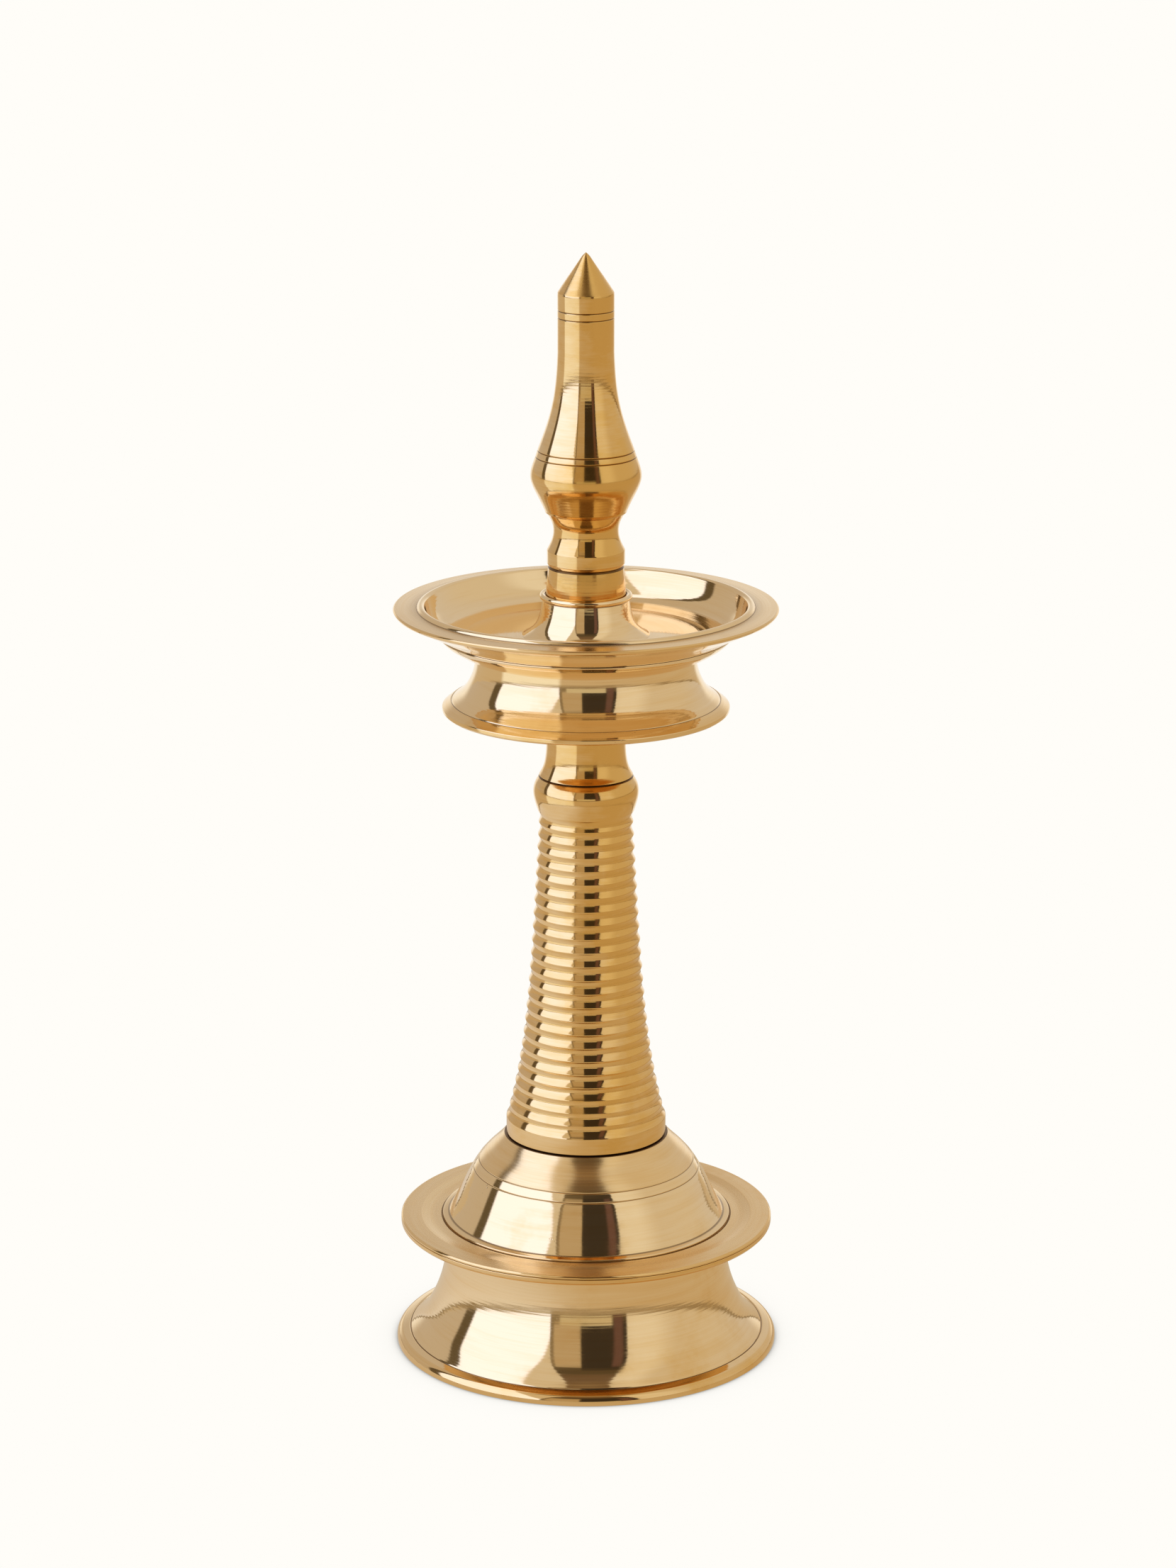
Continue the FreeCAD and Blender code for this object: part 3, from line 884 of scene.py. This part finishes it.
@dataclass
class Dish(Turned):
    """Oil dish with a flat rim, a raised lip and a hub for the post; sizes in millimetres."""

    ring_drop: float = 3.6
    rim_top: float = 11.3
    rim_edge: float = 1.7
    lip_height: float = 1.1
    lip_radius: float = 51.6
    mouth: float = 50.7
    floor: float = 2.3
    hub: float = 14.6
    recess: float = 12.95

    def outline(self) -> Outline:
        """The dish's outline, from its stud hole outwards, up to the rim and back to the hub."""
        seat, top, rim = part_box("dish_stand")[1].z / MM, self.high(), self.reach()
        flat = seat + self.rim_top
        under, crest = flat - self.rim_edge, flat + self.lip_height
        ring = seat - self.ring_drop
        shape = Outline(6.05, seat).path((35.0, seat), (35.0, ring))
        shape.finish(grime=0.7).line(36.6, ring).finish()
        shape.curve((39.85, ring + 1.3), (42.7, ring + 3.0), (45.0, ring + 4.6), (46.2, ring + 6.0))
        shape.line(46.0, ring + 6.3)
        shape.curve((49.8, seat + 5.0), (53.6, seat + 6.9), (rim - 1.8, under))
        shape.finish(stain=0.45).arc((rim - 0.5, under + 0.4), (rim, under + 1.2))
        shape.path((rim, flat - 0.4), (rim - 0.4, flat)).finish(satin=0.35, stain=0.1)
        shape.line(self.lip_radius + 1.6, flat).finish()
        shape.arc((self.lip_radius, crest), (self.mouth, crest - 0.6))
        shape.curve((49.9, seat + 9.5), (47.9, seat + 6.1), (44.0, seat + 3.5), (38.5, seat + self.floor))
        shape.line(20.0, seat + self.floor)
        shape.curve((16.4, seat + 5.1), (14.3, seat + 10.1), (13.5, top - 1.7))
        shape.arc((self.hub, top - 0.7), (self.recess + 0.6, top))
        shape.path((self.recess, top - 0.2), (self.recess, top - 0.7), (8.0, top - 0.7))
        shape.path((8.0, top - 6.7), (0, top - 6.7), (0, seat + 8), (6.05, seat + 8))
        return shape.threaded(seat, 1.5, Thread.FEMALE)


@dataclass
class Post(Turned):
    """Short tapered post in the dish's hub; sizes in millimetres."""

    top_radius: float = 11.9
    tang: float = 7.95

    def outline(self) -> Outline:
        """The post's outline, from the foot of its tang up."""
        foot, top = self.low(), self.high()
        shape = Outline(0, foot).path((self.tang, foot), (self.tang, foot + 6), (self.reach(), foot + 6))
        shape.line(self.top_radius, top - 0.5).finish(grime=0.8).line(self.top_radius - 0.45, top).finish()
        shape.line(5.05, top)
        return shape.threaded(top - 8.5, 1.5, Thread.FEMALE).line(0, top - 8.5)


@dataclass
class Stud(Turned):
    """Threaded stud; the nipple is a stud with a bore. Sizes in millimetres."""

    segments: int = 96
    wobble: float = 0.0
    pitch: float = 2.0
    depth: float = 0.8
    bore: float = 0.0
    chamfer: float = 0.8

    def outline(self) -> Outline:
        """The stud's outline, from its lower end up."""
        foot, top, radius = self.low(), self.high(), self.reach()
        shape = Outline(self.bore, foot).line(radius - self.chamfer, foot).line(radius, foot + self.chamfer)
        shape.threaded(top - self.chamfer, self.pitch, Thread.MALE)
        shape.path((radius - self.chamfer, top), (self.bore, top))
        if self.bore > 0:
            shape.line(self.bore, foot)
        return shape

    def settings(self) -> dict:
        """The lathe's settings, with the thread's pitch and depth."""
        made = super().settings()
        made["Thread Pitch"] = self.pitch * MM
        made["Thread Depth"] = self.depth * MM
        return made


@dataclass
class Finial(Turned):
    """Finial: ring, cove, rounded belly, slender shaft and pointed tip; sizes in millimetres."""

    ring: float = 12.25
    belly: float = 17.4
    shaft: float = 8.85
    shoulder: float = 85.3

    def outline(self) -> Outline:
        """The finial's outline, from its stud hole outwards and up to the tip."""
        foot, tip = self.low(), self.high()
        shape = Outline(5.05, foot).path((11.7, foot), (self.ring, foot + 0.9), (self.ring, foot + 5))
        shape.finish(stain=0.3)
        shape.curve((11.3, foot + 6.8), (10.25, foot + 10.6), (10.8, foot + 14.1), (12.2, foot + 16.8))
        shape.path((12.8, foot + 17.1), (13.0, foot + 17.8)).finish(stain=0.2)
        shape.curve(
            (14.85, foot + 21.7), (16.95, foot + 26.2), (self.belly, foot + 28.2), (16.8, foot + 31.8),
            (15.95, foot + 34.2),
        )
        shape.finish()
        shape.groove(0.55, 0.3, (15.8, foot + 34.65), (0.96, 0.27))
        shape.line(15.3, foot + 36.1).groove(0.55, 0.3, (15.15, foot + 36.6), (0.96, 0.27))
        shape.curve((13.6, foot + 40.8), (10.85, foot + 49.7), (9.4, foot + 58.6), (self.shaft, foot + 67.5))
        shape.line(self.shaft, foot + 77.9).groove(0.55, 0.28, (self.shaft, foot + 78.2), (1, 0))
        shape.line(self.shaft, foot + 80.2).groove(0.55, 0.28, (self.shaft, foot + 80.5), (1, 0))
        shape.path((self.shaft, foot + self.shoulder), (8.75, foot + self.shoulder + 0.8))
        shape.finish(satin=0.55, stain=0.5)
        shape.curve((6.45, foot + 89.6), (4.05, foot + 93.1), (1.15, tip - 1.1)).line(0, tip).finish()
        shape.path((0, foot + 8), (5.05, foot + 8))
        return shape.threaded(foot, 1.5, Thread.FEMALE)


# ---------------------------------------------------------------- studio


@dataclass(frozen=True)
class Panel:
    """A patch of the surroundings, by direction; angles in degrees.

    Args:
        bearings: Its left and right edges; 0 is towards the front, positive to the right.
        rises: Its lower and upper edges above the horizon.
        colour: Its radiance, as linear red, green and blue.
        soft: Half the width of its sideways edges' blur.
        blur: Half the width of its upper and lower edges' blur.
        lean: How far its sides lean outwards as they rise, as a slope.
    """

    bearings: tuple[float, float]
    rises: tuple[float, float]
    colour: tuple[float, float, float]
    soft: float = 0.7
    blur: float = 1.5
    lean: float = 0.0


PANELS = (
    Panel((120, 181), (-91, 91), (0.68, 0.63, 0.58), 20.0, 1.0),
    Panel((-181, -92), (-91, 91), (0.57, 0.50, 0.43), 2.0, 1.0, 0.38),
    Panel((28, 62), (-2, 70), (0.83, 0.79, 0.72), 12.0, 6.0),
    Panel((-103, -92), (-2, 56), (0.13, 0.10, 0.06), 1.6, 5.0, 0.38),
    Panel((-92.5, -20), (-2, 80), (1.25, 1.37, 1.85), 1.4, 4.0, 0.38),
    Panel((-27, 31), (-2, 91), (0.17, 0.11, 0.065), 1.0, 5.0),
    Panel((-181, 181), (74, 91), (0.35, 0.25, 0.14), 1.0, 4.0),
    Panel((-27, 31), (-2, 61), (0.11, 0.08, 0.045), 0.7, 4.0),
    Panel((-27, -3), (-2, 46), (0.27, 0.21, 0.13), 0.7, 4.0),
    Panel((-24.5, -4), (6, 44), (0.52, 0.41, 0.27), 0.8, 4.0),
    Panel((-4, 31), (5, 50), (0.05, 0.038, 0.027), 0.8, 4.0),
    Panel((21, 28), (-2, 44), (0.15, 0.085, 0.073), 1.5, 4.0),
    Panel((-20, 20), (0.5, 8), (0.63, 0.56, 0.40), 1.2, 0.8),
    Panel((-181, 181), (-91, -0.4), (0.62, 0.51, 0.36), 1.0, 0.4),
    Panel((-95, -27), (-91, -0.4), (1.00, 1.00, 0.95), 3.0, 0.4),
    Panel((-110, 140), (-2, -0.5), (0.30, 0.23, 0.14), 8.0, 0.4),
    Panel((152, 181), (-40, 12), (1.00, 0.97, 0.92), 6.0, 8.0),
    Panel((-181, -152), (-40, 12), (1.00, 0.97, 0.92), 6.0, 8.0),
)


@dataclass
class Studio:
    """Floor, soft lighting and camera; lengths in metres.

    Args:
        distance: How far the camera stands from the lamp's axis.
        height: The camera's height above the table.
        pitch: How far it looks down, in degrees.
        lens: Focal length, in millimetres on a 36 mm long side.
        aside: How far the camera stands to the right of the axis.
        table: Radius of the table top that the brass mirrors.
        pale: Colour of the floor and the background.
    """

    distance: float = 1.43756
    height: float = 0.57823
    pitch: float = 15.247
    lens: float = 107.88
    aside: float = 0.00063
    table: float = 0.38
    pale: tuple[float, float, float] = (1.0, 0.982, 0.939)

    def camera(self) -> None:
        """Place the camera."""
        data = bpy.data.cameras.new("camera")
        data.lens, data.sensor_width = self.lens, 36
        data.clip_start, data.clip_end = 0.05, 50
        camera = bpy.data.objects.new("camera", data)
        bpy.context.scene.collection.objects.link(camera)
        camera.location = (self.aside, -self.distance, self.height)
        camera.rotation_euler = (math.radians(90 - self.pitch), 0, 0)
        bpy.context.scene.camera = camera

    def _disc(self, name: str, radius: float, height: float, rim: float) -> bpy.types.Object:
        """A flat round stage object, with a low wall round it if the rim is above 0."""
        sides = 96
        turn = [(math.cos(i * math.tau / sides), math.sin(i * math.tau / sides)) for i in range(sides)]
        places = [(x * radius, y * radius, height) for x, y in turn]
        faces = [list(range(sides))]
        if rim > 0:
            places += [(x * radius, y * radius, height + rim) for x, y in turn]
            faces += [[i, (i + 1) % sides, sides + (i + 1) % sides, sides + i] for i in range(sides)]
        mesh = bpy.data.meshes.new(name)
        mesh.from_pydata(places, [], faces)
        disc = bpy.data.objects.new(name, mesh)
        bpy.context.scene.collection.objects.link(disc)
        material = bpy.data.materials.new(name)
        material.use_nodes = True
        mesh.materials.append(material)
        return disc

    def floor(self) -> None:
        """A pale floor with a close contact shadow, which the camera sees."""
        disc = self._disc("floor", 6.0, 0.0, 0.0)
        disc.visible_glossy = False
        g = Graph(disc.active_material.node_tree)
        open_sky = g.node("ShaderNodeAmbientOcclusion", {"Distance": 0.016}, samples=16).outputs["AO"]
        shade = g.smooth(open_sky, 0.35, 1.0)
        colour = g.blend(shade, (0.36, 0.35, 0.33, 1), (*self.pale, 1))
        glow = g.node("ShaderNodeEmission", {0: colour}).outputs[0]
        g.node("ShaderNodeOutputMaterial", {0: glow})

    def table_top(self) -> None:
        """The table's warm reflection: lighter to the left, with a dark edge; only the brass sees it."""
        disc = self._disc("table_top", self.table, -0.0002, 0.009)
        disc.visible_camera = False
        disc.visible_diffuse = False
        disc.visible_shadow = False
        g = Graph(disc.active_material.node_tree)
        place = g.node("ShaderNodeTexCoord").outputs["Object"]
        part = g.node("ShaderNodeSeparateXYZ", {0: place}).outputs
        side = g.smooth(part["X"], -0.22, 0.02)
        colour = g.blend(side, (0.80, 0.76, 0.74, 1), (0.62, 0.51, 0.36, 1))
        wall = g.smooth(part["Z"], 0.0002, 0.0010)
        colour = g.blend(wall, colour, (0.30, 0.23, 0.14, 1))
        glow = g.node("ShaderNodeEmission", {0: colour}).outputs[0]
        g.node("ShaderNodeOutputMaterial", {0: glow})

    def surroundings(self) -> None:
        """A soft studio all round, by direction, which the brass mirrors."""
        world = bpy.data.worlds.new("studio")
        bpy.context.scene.world = world
        world.use_nodes = True
        g = Graph(world.node_tree)
        way = g.node("ShaderNodeTexCoord").outputs["Generated"]
        part = g.node("ShaderNodeSeparateXYZ", {0: way}).outputs
        bearing = g.math("ARCTAN2", part["X"], g.math("MULTIPLY", part["Y"], -1))
        bearing = g.math("MULTIPLY", bearing, 180 / math.pi)
        climb = g.math("ARCSINE", part["Z"])
        rise = g.math("MULTIPLY", climb, 180 / math.pi)
        slope = g.math("TANGENT", g.math("MAXIMUM", climb, 0.0))
        view: Wire = (0.70, 0.63, 0.53, 1)
        for panel in PANELS:
            turn = bearing
            if panel.lean:
                lean = g.math("ARCSINE", g.math("MULTIPLY", slope, panel.lean, clamp=True))
                turn = g.math("ADD", bearing, g.math("MULTIPLY", lean, 180 / math.pi))
            share = g.math(
                "MULTIPLY",
                self._band(g, turn, panel.bearings, panel.soft),
                self._band(g, rise, panel.rises, panel.blur),
            )
            view = g.blend(share, view, (*panel.colour, 1))
        seen = g.node("ShaderNodeLightPath").outputs["Is Camera Ray"]
        view = g.blend(seen, view, (*self.pale, 1))
        shade = g.node("ShaderNodeBackground", {0: view, 1: 1.0}).outputs[0]
        g.node("ShaderNodeOutputWorld", {0: shade})

    def _band(self, g: Graph, value: Wire, edges: tuple[float, float], soft: float) -> Socket:
        """1 between two edges and 0 outside, with soft edges."""
        rising = g.smooth(value, edges[0] - soft, edges[0] + soft)
        falling = g.smooth(value, edges[1] - soft, edges[1] + soft, 1.0, 0.0)
        return g.math("MULTIPLY", rising, falling)

    def build(self) -> None:
        """Set up the whole studio."""
        bpy.context.scene.view_settings.view_transform = "Standard"
        self.camera()
        self.floor()
        self.table_top()
        self.surroundings()


def main() -> None:
    """Build every piece round the frame, then the studio."""
    logging.basicConfig(level=logging.INFO, format="%(message)s")
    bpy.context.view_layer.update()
    lathe = Lathe()
    # Each finish's left and right shares paint shade on the +X side of its pieces, away from the bright
    # light, over their own tarnishing.
    foot_brass = Brass("foot_brass", seed=2.0, tarnish_and_shade_right=0.25)
    dome_brass = Brass("dome_brass", seed=5.0)
    column_brass = Brass("column_brass", seed=8.0, tarnish_and_shade_left=0.45, tarnish_and_shade_right=0.8)
    neck_brass = Brass("neck_brass", seed=11.0, tarnish_and_shade_left=0.5, tarnish_and_shade_right=1.0)
    stand_brass = Brass("stand_brass", seed=14.0, tarnish_and_shade_right=0.2)
    dish_brass = Brass("dish_brass", seed=17.0)
    finial_brass = Brass("finial_brass", seed=20.0, tarnish_and_shade_left=0.25, tarnish_and_shade_right=0.9, pitted=0.6)
    thread_brass = Brass("thread_brass", seed=23.0, gloss=0.22)
    pieces = [
        Foot("foot", "base", foot_brass, segments=192, seed=1.0),
        Dome("base_dome", "base", dome_brass, seed=2.0),
        Stud("base_nipple", "column_nipple", thread_brass, segments=120, bore=10.5),
        Column("column", "column", column_brass, segments=144, seed=3.0),
        Stud("column_stud", "neck_stud", thread_brass),
        Neck("neck", "neck", neck_brass, segments=128, seed=4.0),
        DishStand("dish_stand", "neck", stand_brass, seed=5.0),
        Stud("dish_stud", "dish_stud", thread_brass, pitch=1.5, depth=0.6),
        Dish("dish", "dish", dish_brass, segments=192, seed=6.0),
        Post("post", "dish", neck_brass, segments=128, seed=7.0),
        Stud("finial_stud", "finial_stud", thread_brass, pitch=1.5, depth=0.6),
        Finial("finial", "finial", finial_brass, segments=128, seed=8.0),
    ]
    for piece in pieces:
        piece.make(lathe)
    Studio().build()


if __name__ == "__main__":
    main()
